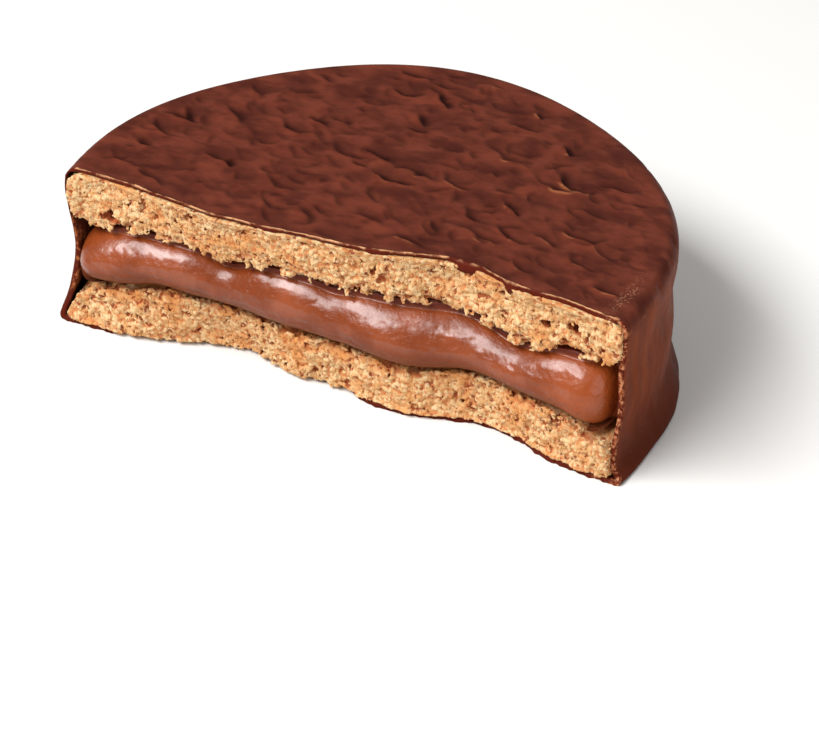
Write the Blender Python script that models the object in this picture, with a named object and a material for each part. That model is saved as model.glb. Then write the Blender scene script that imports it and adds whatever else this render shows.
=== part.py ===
"""Half of a chocolate-coated sandwich biscuit, cut open: two crumbly biscuits, a thick milk-caramel filling
and a thin chocolate coating. Metres, +Z up. The origin is the round biscuit's centre, on its flat base, and
the cut faces -Y. Each layer is a closed solid built from rows of points that run from the cut to the rim."""

import math

import bmesh
import bpy
from mathutils import Vector, noise

MM = 0.001

# Driving dimensions

RIM_RADIUS = 32.0 * MM
HEIGHT = 19.4 * MM
CUT_DISTANCE = 6.6 * MM
COAT = 0.5 * MM
GAP = 0.3 * MM

LOWER_BISCUIT_TOP = 6.0 * MM
UPPER_BISCUIT_BOTTOM = 13.6 * MM
FILLING_BULGE = 1.7 * MM
FILLING_END_GAP = 0.5 * MM
FILLING_END_ROUND = 2.6 * MM
FILLING_END_BACK = 1.0 * MM
LOWER_BISCUIT_FORWARD = 0.3 * MM

TOP_EDGE_ROUND = 1.4 * MM
BASE_EDGE_ROUND = 0.4 * MM
SHOULDER_ROUND = 1.9 * MM

# The rim isn't a true circle: waves round it, how high, and the angle in degrees where each one peaks
RIM_WAVES = (
    (2, 0.3 * MM, 80),
    (3, 0.25 * MM, -25),
    (4, 0.25 * MM, 11),
    (5, 0.14 * MM, 20),
    (6, 0.12 * MM, -18),
)

# The side wall swells beside the upper biscuit, draws in beside the filling and spreads at the foot
UPPER_SWELL = 0.8 * MM
UPPER_SWELL_HEIGHT = 16.8 * MM
UPPER_SWELL_SPREAD = 3.4 * MM
RIGHT_SWELL_SHARE = 0.45
WAIST_HEIGHT = 9.3 * MM
WAIST_SPREAD = 3.4 * MM
WAIST_TILT = 0.5 * MM
SLOPE_OUT = 0.9 * MM
SLOPE_HEIGHT = 15.0 * MM
LIP_OUT = 1.25 * MM
LIP_HEIGHT = 3.2 * MM
LIP_HEIGHT_AT_CORNER = 1.0 * MM
CORNER_ANGLE = math.radians(-12)
CORNER_FADE = math.radians(28)
CORNER_OUT = 0.8 * MM
CORNER_OUT_FADE = math.radians(16)

# The cut isn't straight. Each dent has a place along X, a half width, and how far it goes back, or
# forward where that is less than 0
CUT_DENTS_AT_TOP = (
    (-12.0 * MM, 9.0 * MM, -1.3 * MM),
    (13.0 * MM, 6.5 * MM, 2.7 * MM),
    (25.0 * MM, 4.5 * MM, 0.8 * MM),
)
CUT_DENTS_AT_BASE = (
    (-13.0 * MM, 6.0 * MM, 3.6 * MM),
    (-1.0 * MM, 7.0 * MM, 1.6 * MM),
    (16.5 * MM, 7.0 * MM, 3.1 * MM),
)

# Where the upper biscuit's lower edge hangs down, and where the lower biscuit's upper edge stands up
UPPER_EDGE_DROPS = (
    (-29.5 * MM, 3.5 * MM, 1.2 * MM),
    (-13.0 * MM, 2.8 * MM, 1.3 * MM),
    (-0.5 * MM, 2.0 * MM, 0.6 * MM),
    (19.5 * MM, 4.2 * MM, 1.5 * MM),
)
LOWER_EDGE_RISES = (
    (-31.0 * MM, 2.8 * MM, -1.4 * MM),
    (-20.5 * MM, 3.0 * MM, 1.1 * MM),
    (8.5 * MM, 4.0 * MM, -0.7 * MM),
    (30.0 * MM, 3.0 * MM, -1.5 * MM),
)

# Relief: waves that blown air leaves in the coating, and the crumb where the biscuits broke
RIPPLE_DEPTH = 0.16 * MM
RIPPLE_LENGTH = 4.2 * MM
RIPPLE_WIDTH = 2.6 * MM
CRAG_DEPTH = 0.45 * MM
CRAG_SIZE = 2.2 * MM
COAT_EDGE_DEPTH = 0.18 * MM
COAT_EDGE_SIZE = 3.0 * MM

# Mesh density. Columns crowd a little towards the ends of the cut, where the layers turn
COLUMNS = 64
CROWDING = 0.35
TOP_ROWS = 14
FLAT_ROWS = 2
WALL_HEIGHTS = 5
ROUND_STEPS = 3
MERGE = 1e-7


def bump(distance, half_width):
    """1 at the middle and falling smoothly to 0 on both sides."""
    return math.exp(-((distance / half_width) ** 2))


def smooth(t):
    """0 below 0, 1 above 1, with an eased slope between."""
    t = min(1.0, max(0.0, t))
    return t * t * (3 - 2 * t)


def dents(table, x):
    return sum(depth * bump(x - place, half) for place, half, depth in table)


def rim_radius(angle):
    waves = sum(high * math.cos(count * (angle - math.radians(peak))) for count, high, peak in RIM_WAVES)
    return RIM_RADIUS + waves


def wall_radius(angle, z):
    """Distance of the coating's outer face from the axis, without its rounded edges. Its foot is a long
    slope and a low lip where chocolate pooled. At the cut's right corner the slope fades out, and the whole
    wall stands out a little."""
    away = smooth((angle - CORNER_ANGLE) / CORNER_FADE)
    swell = UPPER_SWELL * (RIGHT_SWELL_SHARE + (1 - RIGHT_SWELL_SHARE) * away)
    swell *= bump(z - UPPER_SWELL_HEIGHT, UPPER_SWELL_SPREAD)
    waist = WAIST_TILT * math.cos(angle) * bump(z - WAIST_HEIGHT, WAIST_SPREAD)
    slope = SLOPE_OUT * away * max(0.0, 1 - z / SLOPE_HEIGHT)
    lip = LIP_OUT * bump(z, LIP_HEIGHT_AT_CORNER + (LIP_HEIGHT - LIP_HEIGHT_AT_CORNER) * away)
    corner = CORNER_OUT * (1 - smooth((angle - CORNER_ANGLE) / CORNER_OUT_FADE))
    return rim_radius(angle) + swell + waist + slope + lip + corner


def cut_y(x, z):
    """Where the cut lies at this place along it and this height."""
    share = min(1.0, max(0.0, z / HEIGHT))
    return -CUT_DISTANCE + share * dents(CUT_DENTS_AT_TOP, x) + (1 - share) * dents(CUT_DENTS_AT_BASE, x)


def end_angle(inset, z, front, left):
    """The angle at which a wall this far inside the coating's outer face meets the cut."""
    inner, outer = (math.radians(150), math.radians(225)) if left else (math.radians(30), math.radians(-45))
    for _ in range(40):
        middle = (inner + outer) / 2
        reach = wall_radius(middle, z) - inset
        x, y = reach * math.cos(middle), reach * math.sin(middle)
        if y > front(x, z):
            inner = middle
        else:
            outer = middle
    return (inner + outer) / 2


def arc_row(inset, z, front):
    """Points round the rim at one height, from the cut's left end to its right end."""
    left, right = end_angle(inset, z, front, True), end_angle(inset, z, front, False)
    row = []
    for i in range(COLUMNS + 1):
        angle = left + (right - left) * i / COLUMNS
        reach = wall_radius(angle, z) - inset
        row.append(Vector((reach * math.cos(angle), reach * math.sin(angle), z)))
    return row


def chord_row(arc, front, height=None):
    """Points along the cut between the two ends of a rim row. height(x) moves them up or down."""
    first, last = arc[0], arc[-1]
    row = [first.copy()]
    for i in range(1, COLUMNS):
        even = i / COLUMNS
        crowded = 0.5 - 0.5 * math.cos(math.pi * even)
        x = first.x + (last.x - first.x) * (even + CROWDING * (crowded - even))
        z = height(x) if height else first.z
        row.append(Vector((x, front(x, z), z)))
    return row + [last.copy()]


def rows_between(chord, arc, count):
    """The rows that fill a flat face from the cut to the rim, without the rim's own row."""
    return [[a.lerp(b, step / count) for a, b in zip(chord, arc)] for step in range(count)]


def sheet_faces(rows, flip=False):
    faces = []
    for above, below in zip(rows, rows[1:]):
        for i in range(COLUMNS):
            corners = [above[i], below[i], below[i + 1], above[i + 1]]
            faces.append(corners[::-1] if flip else corners)
    return faces


def make_object(name, faces, colour, roughness, sharp_over):
    """One closed mesh from loose quads: equal points are merged, and corners that collapsed become triangles.
    Edges that turn by more than sharp_over degrees stay sharp when it is shaded."""
    mesh = bpy.data.meshes.new(name)
    bm = bmesh.new()
    for corners in faces:
        bm.faces.new([bm.verts.new(corner) for corner in corners])
    bmesh.ops.remove_doubles(bm, verts=bm.verts, dist=MERGE)
    bmesh.ops.dissolve_degenerate(bm, edges=bm.edges, dist=MERGE)
    bmesh.ops.triangulate(bm, faces=bm.faces)
    bmesh.ops.recalc_face_normals(bm, faces=bm.faces)
    bm.to_mesh(mesh)
    bm.free()
    mesh.shade_smooth()
    mesh.set_sharp_from_angle(angle=math.radians(sharp_over))
    material = bpy.data.materials.new(name)
    material.use_nodes = True
    shader = material.node_tree.nodes["Principled BSDF"]
    shader.inputs["Base Color"].default_value = (*colour, 1)
    shader.inputs["Roughness"].default_value = roughness
    shader.inputs["Metallic"].default_value = 0
    mesh.materials.append(material)
    made = bpy.data.objects.new(name, mesh)
    bpy.context.scene.collection.objects.link(made)
    return made


# Coating

def coat_front(x, z):
    """The cut with the small wander of a broken chocolate edge."""
    wander = noise.noise(Vector((x, z, 0)) / COAT_EDGE_SIZE)
    return cut_y(x, z) + COAT_EDGE_DEPTH * wander


def ripple(point):
    """Height of the waves on the top: long crests that run along the cut, bent by a slower noise."""
    bend = noise.noise(Vector((point.x, point.y, 7 * MM)) / (3 * RIPPLE_LENGTH))
    place = Vector((point.x / RIPPLE_LENGTH, point.y / RIPPLE_WIDTH + bend, 0.5))
    return RIPPLE_DEPTH * (noise.noise(place) + 0.5 * noise.noise(2 * place))


def wall_stations(inset, bottom, top, low_round, high_round):
    """Pairs of inset and height down the wall: a rounded upper edge, the side, and a rounded lower edge."""
    quarter = math.pi / 2
    turn = [quarter * step / ROUND_STEPS for step in range(ROUND_STEPS + 1)]
    upper = [(inset + high_round * (1 - math.sin(t)), top - high_round * (1 - math.cos(t))) for t in turn]
    lower = [(inset + low_round * (1 - math.cos(t)), bottom + low_round * (1 - math.sin(t))) for t in turn]
    start, end = top - high_round, bottom + low_round
    side = [(inset, start + (end - start) * step / WALL_HEIGHTS) for step in range(1, WALL_HEIGHTS)]
    return upper + side + lower


def coat_sheet(inset, bottom, top, low_round, high_round, top_rows, relief):
    """The rows of one face of the coating: over the top from the cut, down the side, and under the base."""
    walls = [arc_row(d, z, coat_front) for d, z in wall_stations(inset, bottom, top, low_round, high_round)]
    over = rows_between(chord_row(walls[0], coat_front), walls[0], top_rows)
    if relief:
        for share, row in enumerate(over):
            for i in range(1, COLUMNS):
                edge = min(share / top_rows, 1 - share / top_rows, i / COLUMNS, 1 - i / COLUMNS)
                row[i].z += ripple(row[i]) * smooth(8 * edge) if share else 0.5 * ripple(row[i])
    under = rows_between(chord_row(walls[-1], coat_front), walls[-1], FLAT_ROWS)[::-1]
    return over, walls, under


def build_coating():
    outer = coat_sheet(0, 0, HEIGHT, BASE_EDGE_ROUND, TOP_EDGE_ROUND, TOP_ROWS, True)
    inner = coat_sheet(COAT, COAT, HEIGHT - COAT, BASE_EDGE_ROUND / 2, TOP_EDGE_ROUND / 2, FLAT_ROWS, False)
    faces = sheet_faces(outer[0] + outer[1] + outer[2], flip=True)
    faces += sheet_faces(inner[0] + inner[1] + inner[2])
    loops = []
    for over, walls, under in (outer, inner):
        right_edge = [row[-1] for row in walls[1:-1]]
        left_edge = [row[0] for row in walls[1:-1]]
        loops.append(over[0] + right_edge + under[-1][::-1] + left_edge[::-1])
    count = len(loops[0])
    for i in range(count):
        j = (i + 1) % count
        faces.append([loops[0][i], loops[0][j], loops[1][j], loops[1][i]])
    return make_object("coating", faces, (0.110, 0.034, 0.020), 0.45, 40)


# Biscuits

def crag_front(shift, forward):
    """The cut with the broken crumb of a biscuit on it, this far forward of the coating's edge."""
    def front(x, z):
        coarse = noise.noise(Vector((x, z, shift * MM)) / CRAG_SIZE)
        fine = noise.noise(Vector((x, z, shift * MM + 5 * MM)) / (0.45 * CRAG_SIZE))
        return cut_y(x, z) - forward - CRAG_DEPTH * (coarse + 0.6 * fine)
    return front


def layer_solid(front, inset, levels, shoulder, bottom, top):
    """A closed layer. levels are shares of its thickness from 0 at the bottom to 1 at the top,
    shoulder(share) is how far its wall is drawn in there, and bottom(x) and top(x) are its faces."""
    def height(share):
        return lambda x: bottom(x) + share * (top(x) - bottom(x))
    walls = []
    for share in levels:
        level = height(share)
        row = arc_row(inset + shoulder(share), level(0.0), front)
        for point in row:
            point.z = level(point.x)
        for end in (row[0], row[-1]):
            end.y = front(end.x, end.z)
        walls.append(row)
    face = [chord_row(row, front, height(share)) for share, row in zip(levels, walls)]
    lower = rows_between(face[0], walls[0], FLAT_ROWS) + [walls[0]]
    upper = rows_between(face[-1], walls[-1], FLAT_ROWS) + [walls[-1]]
    ends = sheet_faces(lower) + sheet_faces(upper, flip=True)
    return ends + sheet_faces(walls) + sheet_faces(face, flip=True)


def lower_face(x):
    """Height of the lower biscuit's upper face."""
    return LOWER_BISCUIT_TOP + dents(LOWER_EDGE_RISES, x)


def upper_face(x):
    """Height of the upper biscuit's lower face."""
    return UPPER_BISCUIT_BOTTOM - dents(UPPER_EDGE_DROPS, x)


def round_shoulder(share, thickness, radius):
    """How far a wall is drawn in at this share of the thickness below a rounded edge at share 1."""
    down = (1 - share) * thickness
    if down >= radius:
        return 0.0
    return radius - math.sqrt(max(0.0, radius ** 2 - (radius - down) ** 2))


def build_biscuits():
    crumb = (0.640, 0.330, 0.130)
    floor, ceiling = COAT + GAP, HEIGHT - COAT - GAP
    low_thick, high_thick = LOWER_BISCUIT_TOP - floor, ceiling - UPPER_BISCUIT_BOTTOM
    low_levels = (0.0, 0.08, 0.24, 0.42, 0.6, 0.76, 0.9, 1.0)
    inset = COAT + GAP

    def low_shoulder(share):
        over = round_shoulder(share, low_thick, SHOULDER_ROUND)
        return over + round_shoulder(1 - share, low_thick, 0.5 * MM)

    def high_shoulder(share):
        under = round_shoulder(1 - share, high_thick, SHOULDER_ROUND)
        return under + round_shoulder(share, high_thick, 0.9 * MM)

    low_front = crag_front(3, LOWER_BISCUIT_FORWARD)
    low = layer_solid(low_front, inset, low_levels, low_shoulder, lambda x: floor, lower_face)
    make_object("lower_biscuit", low, crumb, 0.9, 40)
    high_levels = tuple(1 - share for share in reversed(low_levels))
    high = layer_solid(crag_front(11, 0), inset, high_levels, high_shoulder, upper_face, lambda x: ceiling)
    make_object("upper_biscuit", high, crumb, 0.9, 40)


# Filling

def filling_front(x, z):
    """A soft roll that swells out of the cut, fullest a little below the middle, and is round at its ends."""
    low, high = lower_face(x) + GAP, upper_face(x) - GAP
    share = min(1.0, max(0.0, (z - low) / (high - low)))
    fullness = math.sin(math.pi * share ** 0.9) ** 0.6 if 0 < share < 1 else 0.0
    past = max(0.0, abs(x) - (RIM_RADIUS - COAT - FILLING_END_GAP - FILLING_END_ROUND)) / FILLING_END_ROUND
    ends = math.sqrt(max(0.0, 1 - min(1.0, past) ** 2))
    slow = noise.noise(Vector((x, z, 31 * MM)) / (9 * MM))
    back = 0.9 * MM * (1 - fullness) + FILLING_END_BACK * (1 - ends)
    return cut_y(x, z) + back - (FILLING_BULGE + 0.5 * MM * slow) * fullness * ends


def build_filling():
    thickness = UPPER_BISCUIT_BOTTOM - LOWER_BISCUIT_TOP - 2 * GAP
    levels = (0.0, 0.05, 0.15, 0.28, 0.42, 0.57, 0.72, 0.85, 0.95, 1.0)

    def roll(share):
        return thickness / 2 * (1 - math.sqrt(max(0.0, 1 - (2 * share - 1) ** 2))) * 0.8

    faces = layer_solid(
        filling_front, COAT + FILLING_END_GAP, levels, roll,
        lambda x: lower_face(x) + GAP, lambda x: upper_face(x) - GAP,
    )
    make_object("filling", faces, (0.300, 0.085, 0.028), 0.3, 70)


def main():
    for old in list(bpy.data.objects):
        bpy.data.objects.remove(old)
    build_coating()
    build_biscuits()
    build_filling()


main()
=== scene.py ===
# %% [markdown]
# # Half an alfajor, cut open
#
# An alfajor is two crumbly biscuits with a thick layer of milk caramel between them, dipped whole in
# chocolate. This one was cut across, so its cut face shows every layer. We dress four plain solids: the
# coating, the two biscuits and the filling. Each gets a surface of its own: blown creases on the chocolate,
# broken crumb on the biscuits, and a glossy, wrinkled roll of caramel.

import math
import random

import bmesh
import bpy
import numpy as np
from mathutils import Matrix, Vector, noise


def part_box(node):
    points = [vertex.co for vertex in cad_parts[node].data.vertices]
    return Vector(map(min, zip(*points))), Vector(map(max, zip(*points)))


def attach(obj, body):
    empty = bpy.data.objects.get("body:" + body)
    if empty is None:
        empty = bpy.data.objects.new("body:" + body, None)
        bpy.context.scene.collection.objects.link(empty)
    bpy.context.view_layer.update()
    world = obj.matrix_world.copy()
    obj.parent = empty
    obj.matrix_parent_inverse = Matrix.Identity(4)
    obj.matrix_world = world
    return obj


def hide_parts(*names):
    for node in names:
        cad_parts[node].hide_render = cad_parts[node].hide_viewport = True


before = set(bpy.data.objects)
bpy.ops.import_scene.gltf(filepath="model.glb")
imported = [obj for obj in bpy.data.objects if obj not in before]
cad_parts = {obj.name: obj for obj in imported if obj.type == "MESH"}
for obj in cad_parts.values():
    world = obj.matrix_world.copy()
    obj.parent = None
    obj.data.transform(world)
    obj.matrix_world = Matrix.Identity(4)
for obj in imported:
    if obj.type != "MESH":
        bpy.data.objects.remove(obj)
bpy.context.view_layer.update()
MM = 0.001
print("solids:", sorted(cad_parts))

# %% [markdown]
# ## The shape that every layer shares
#
# The coating and the layers inside it follow the same rim and the same uneven cut, so we write that shape
# once as a few formulas. The rim is a circle with slow waves. The wall swells beside the upper biscuit, draws
# in beside the soft filling and ends in a low lip, where chocolate pooled as it set. The cut isn't straight,
# because the knife and the crumb pushed each other about: smooth dents move it back and forth.

# %% Shape of the rim, the wall and the cut
RIM_RADIUS = 32.0 * MM
HEIGHT = 19.4 * MM
CUT_DISTANCE = 6.6 * MM
RIM_WAVES = (
    (2, 0.3 * MM, 80),
    (3, 0.25 * MM, -25),
    (4, 0.25 * MM, 11),
    (5, 0.14 * MM, 20),
    (6, 0.12 * MM, -18),
)
CUT_DENTS_AT_TOP = ((-12.0, 9.0, -1.3), (13.0, 6.5, 2.7), (25.0, 4.5, 0.8))
CUT_DENTS_AT_BASE = ((-13.0, 6.0, 3.6), (-1.0, 7.0, 1.6), (16.5, 7.0, 3.1))
UPPER_EDGE_DROPS = ((-29.5, 3.5, 1.2), (-13.0, 2.8, 1.3), (-0.5, 2.0, 0.6), (19.5, 4.2, 1.5))
LOWER_EDGE_RISES = ((-31.0, 2.8, -1.4), (-20.5, 3.0, 1.1), (8.5, 4.0, -0.7), (30.0, 3.0, -1.5))
CORNER_ANGLE = math.radians(-12)
CORNER_FADE = math.radians(28)
CORNER_OUT = 0.8 * MM
CORNER_OUT_FADE = math.radians(16)


def bump(distance, half_width):
    """1 at the middle and falling smoothly to 0 on both sides."""
    return math.exp(-((distance / half_width) ** 2))


def smooth(t):
    """0 below 0, 1 above 1, with an eased slope between."""
    t = min(1.0, max(0.0, t))
    return t * t * (3 - 2 * t)


def dents(table, x):
    return sum(depth * MM * bump(x - place * MM, half * MM) for place, half, depth in table)


def angle_at(x, y):
    """The angle round the axis, from -90 to 270 degrees, so that it doesn't jump at the cut's left end."""
    angle = math.atan2(y, x)
    return angle if angle > -math.pi / 2 else angle + 2 * math.pi


def wall_radius(angle, z):
    """Distance of the coating's outer face from the axis."""
    rim = RIM_RADIUS + sum(high * math.cos(n * (angle - math.radians(peak))) for n, high, peak in RIM_WAVES)
    away = smooth((angle - CORNER_ANGLE) / CORNER_FADE)
    swell = 0.8 * MM * (0.45 + 0.55 * away) * bump(z - 16.8 * MM, 3.4 * MM)
    waist = 0.5 * MM * math.cos(angle) * bump(z - 9.3 * MM, 3.4 * MM)
    slope = 0.9 * MM * away * max(0.0, 1 - z / (15 * MM))
    lip = 1.25 * MM * bump(z, (1.0 + 2.2 * away) * MM)
    corner = CORNER_OUT * (1 - smooth((angle - CORNER_ANGLE) / CORNER_OUT_FADE))
    return rim + swell + waist + slope + lip + corner


def cut_y(x, z):
    """Where the cut lies at this place along it and this height."""
    share = min(1.0, max(0.0, z / HEIGHT))
    return -CUT_DISTANCE + share * dents(CUT_DENTS_AT_TOP, x) + (1 - share) * dents(CUT_DENTS_AT_BASE, x)


def lower_face(x):
    """Height of the lower biscuit's upper face."""
    return 6.0 * MM + dents(LOWER_EDGE_RISES, x)


def upper_face(x):
    """Height of the upper biscuit's lower face."""
    return 13.6 * MM - dents(UPPER_EDGE_DROPS, x)


print("cut at the middle, base and top: %.1f and %.1f mm" % (cut_y(0, 0) / MM, cut_y(0, HEIGHT) / MM))

# %% [markdown]
# ## Rows of points
#
# A layer of this half is easy to describe as rows: each row starts at the left end of the cut and ends at the
# right. Some rows follow the cut, some follow the rim, and the rows between them fill the flat faces. Two
# neighbouring rows make a strip of quads. This gives full control over where the mesh is fine, which a remesh
# would not.

# %% Rows along the cut and round the rim
LEFT_SEARCH = (math.radians(150), math.radians(225))
RIGHT_SEARCH = (math.radians(30), math.radians(-45))
HALVINGS = 36
CROWDED_ENDS = 0.35


def end_angle(inset, z, front, left):
    """The angle at which a wall this far inside the outer face meets the cut, found by halving a span."""
    inner, outer = LEFT_SEARCH if left else RIGHT_SEARCH
    for _ in range(HALVINGS):
        middle = (inner + outer) / 2
        reach = wall_radius(middle, z) - inset
        if reach * math.sin(middle) > front(reach * math.cos(middle), z):
            inner = middle
        else:
            outer = middle
    return (inner + outer) / 2


def arc_row(inset, z, front, columns):
    """Points round the rim at one height, from the cut's left end to its right end."""
    left, right = end_angle(inset, z, front, True), end_angle(inset, z, front, False)
    row = []
    for i in range(columns + 1):
        angle = left + (right - left) * i / columns
        reach = wall_radius(angle, z) - inset
        row.append(Vector((reach * math.cos(angle), reach * math.sin(angle), z)))
    return row


def chord_row(arc, front, height=None):
    """Points along the cut between the two ends of a rim row."""
    first, last, columns = arc[0], arc[-1], len(arc) - 1
    row = [first.copy()]
    for i in range(1, columns):
        even = i / columns
        crowded = 0.5 - 0.5 * math.cos(math.pi * even)
        x = first.x + (last.x - first.x) * (even + CROWDED_ENDS * (crowded - even))
        z = height(x) if height else first.z
        row.append(Vector((x, front(x, z), z)))
    return row + [last.copy()]


def rows_between(chord, arc, shares):
    """Rows from the cut to the rim, one for each share of the way."""
    return [[a.lerp(b, share) for a, b in zip(chord, arc)] for share in shares]


# %% A closed mesh from rows
PLACES_PER_METRE = 1e7


def put(name, data):
    """An object with this data, in the scene."""
    thing = bpy.data.objects.new(name, data)
    bpy.context.scene.collection.objects.link(thing)
    return thing


def to_bmesh(mesh, merge=False):
    """A mesh opened for editing, with its doubled points merged if asked."""
    bm = bmesh.new()
    bm.from_mesh(mesh)
    if merge:
        bmesh.ops.remove_doubles(bm, verts=bm.verts, dist=1e-6)
    return bm


def from_bmesh(bm, mesh):
    bm.to_mesh(mesh)
    bm.free()


def sheet_faces(rows, flip=False):
    faces = []
    for above, below in zip(rows, rows[1:]):
        for i in range(len(above) - 1):
            corners = (above[i], below[i], below[i + 1], above[i + 1])
            faces.append(corners[::-1] if flip else corners)
    return faces


def make_piece(name, faces):
    """One closed, smooth mesh: points at the same place are merged as it is built."""
    index, points, polygons = {}, [], []
    for corners in faces:
        loop = []
        for p in corners:
            key = tuple(round(value * PLACES_PER_METRE) for value in p)
            if key not in index:
                index[key] = len(points)
                points.append(p)
            if index[key] not in loop:
                loop.append(index[key])
        if len(loop) > 2:
            polygons.append(loop)
    mesh = bpy.data.meshes.new(name)
    mesh.from_pydata(points, [], polygons)
    bm = to_bmesh(mesh)
    bmesh.ops.recalc_face_normals(bm, faces=bm.faces)
    open_edges = sum(1 for edge in bm.edges if len(edge.link_faces) != 2)
    from_bmesh(bm, mesh)
    mesh.shade_smooth()
    print(name, "has", len(mesh.polygons), "faces and", open_edges, "open edges")
    return put(name, mesh)


def places_of(mesh):
    """The x, y and z of every point, as three arrays."""
    flat = np.empty(len(mesh.vertices) * 3, np.float32)
    mesh.vertices.foreach_get("co", flat)
    return flat.reshape(-1, 3).T.astype(float)


def store(mesh, name, values):
    """Keeps one number for each point under a name that a material can read."""
    layer = mesh.attributes.new(name, "FLOAT", "POINT")
    layer.data.foreach_set("value", np.asarray(values, np.float32))


# %% [markdown]
# ## Shader trees as sums
#
# A shader tree is easier to read as a sum than as a list of links. A small class wraps one output socket, so
# that `1 - mask` or `height * 0.4` adds its Math nodes. Colours go through Mix nodes, because a Math node
# would turn them grey. The same class works for the Geometry Nodes trees further down.

# %% A socket that can stand in a sum
class Wire:
    """One output socket of a tree."""

    def __init__(self, tree, socket):
        self.tree = tree
        self.socket = socket

    def math(self, operation, *others):
        return add(self.tree, "ShaderNodeMath", {"operation": operation}, dict(enumerate((self, *others))))

    def __add__(self, other):
        return self.math("ADD", other)

    def __sub__(self, other):
        return self.math("SUBTRACT", other)

    def __mul__(self, other):
        return self.math("MULTIPLY", other)

    def __truediv__(self, other):
        return self.math("DIVIDE", other)

    __radd__, __rmul__ = __add__, __mul__

    def __rsub__(self, other):
        return add(self.tree, "ShaderNodeMath", {"operation": "SUBTRACT"}, {0: other, 1: self})

    def least(self, other):
        return self.math("MINIMUM", other)

    def most(self, other):
        return self.math("MAXIMUM", other)

    def step(self, low, high):
        """0 below low and 1 above high, eased."""
        settings = {"interpolation_type": "SMOOTHSTEP"}
        between = {"Value": self, "From Min": low, "From Max": high}
        return add(self.tree, "ShaderNodeMapRange", settings, between)


def add(tree, kind, settings=None, inputs=None, output=0):
    """Adds one node: its settings first, then the values and links of its sockets."""
    node = tree.nodes.new(kind)
    for name, value in (settings or {}).items():
        setattr(node, name, value)
    for name, value in (inputs or {}).items():
        fill(node.inputs[name], value)
    return Wire(tree, node.outputs[output])


def fill(socket, value):
    """Links a Wire to a socket, or puts a plain value on it."""
    if isinstance(value, Wire):
        value.tree.links.new(value.socket, socket)
    else:
        socket.default_value = value


def linear(picked):
    """A colour picked on screen, 0 to 255, as the numbers that a shader takes."""
    shares = (value / 255 for value in picked)
    return (*(s / 12.92 if s <= 0.04 else ((s + 0.055) / 1.055) ** 2.4 for s in shares), 1)


def mix(factor, first, second):
    """A colour between two colours, each a Wire or a colour picked on screen."""
    ends = [end if isinstance(end, Wire) else linear(end) for end in (first, second)]
    return add(factor.tree, "ShaderNodeMix", {"data_type": "RGBA"}, {0: factor, 6: ends[0], 7: ends[1]}, 2)


def new_material(name):
    """A material with nodes: its tree, and its Principled shader."""
    material = bpy.data.materials.new(name)
    material.use_nodes = True
    return material, material.node_tree, material.node_tree.nodes["Principled BSDF"]


def feed(shader, **values):
    """Fills sockets of the shader, named with underscores for spaces."""
    for name, value in values.items():
        fill(shader.inputs[name.replace("_", " ")], value)


def bumps(tree, height, distance, strength=1.0):
    return add(tree, "ShaderNodeBump", None, {"Height": height, "Distance": distance, "Strength": strength})


def noise_at(tree, place, scale, detail=2.0, roughness=0.5, output=0):
    sockets = {"Vector": place, "Scale": scale, "Detail": detail, "Roughness": roughness}
    return add(tree, "ShaderNodeTexNoise", None, sockets, output)


def stretched(tree, place, turn, scale):
    """Coordinates turned about the vertical and scaled by axis, to draw a pattern out in one direction."""
    turned = {"Vector": place, "Rotation": (0, 0, math.radians(turn)), "Scale": scale}
    return add(tree, "ShaderNodeMapping", None, turned)


def attribute(tree, name):
    return add(tree, "ShaderNodeAttribute", {"attribute_name": name}, None, "Fac")


def split(tree, place):
    """The x, y and z of a place, in millimetres."""
    node = add(tree, "ShaderNodeSeparateXYZ", None, {0: place}).socket.node
    return [Wire(tree, out) * 1000.0 for out in node.outputs]


# %% [markdown]
# ## The chocolate coating
#
# The real coating is poured on and blown thin, and the air leaves shallow crescents that freeze as it sets: a
# low lip towards the cut, a short steep step behind it, and a soft hollow that runs out again. We lay one
# crescent in every cell of a loose grid, each with its own turn, length, bend and depth, and bend the whole
# field a little with noise. It is real relief and not a bump map, so it shades and shows along the outline as
# well.

# %% Crescents blown into the top
CREASE_PITCH_X = 4.6 * MM
CREASE_PITCH_Y = 3.4 * MM
CREASE_SIZES = ((1.0, (-58, 10), (0.15, 1.0)), (0.55, (-75, 35), (0.1, 0.6)))
DEEPEST_CREASE = 0.46 * MM
CREASE_SEED = 5
CREASE_STRAY = 0.42
STEP_WIDTH = 0.10 * MM
LIP_REACH = 0.6 * MM
RELIEF_ABOVE = 0.15 * MM
RELIEF_BELOW = 0.38 * MM
TOP_ROUND = 1.4 * MM


def crease_table():
    """For each crescent: its place, turn, half length, bend, depth and how far its hollow runs."""
    draw = random.Random(CREASE_SEED).uniform
    table = []
    for size, turns, depths in CREASE_SIZES:
        for row in range(round(-3 / size), round(11 / size)):
            for column in range(round(-8 / size), round(8 / size)):
                x = (column + 0.5 * (row % 2) + draw(-CREASE_STRAY, CREASE_STRAY)) * CREASE_PITCH_X * size
                y = (row + draw(-CREASE_STRAY, CREASE_STRAY)) * CREASE_PITCH_Y * size
                turn, half = math.radians(draw(*turns)), draw(0.7, 2.5) * size * MM
                bend, depth = draw(-0.06, 0.24) / size / MM, DEEPEST_CREASE * draw(*depths) ** 1.7
                table.append((x, y, turn, half, bend, depth, draw(0.8, 2.0) * size * MM))
    return table


def noise_over(x, y, size_x, size_y, layer):
    """One value of smooth noise, about -1 to 1, for each place."""
    return np.array([noise.noise(Vector((a / size_x, b / size_y, layer))) for a, b in zip(x, y)])


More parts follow.
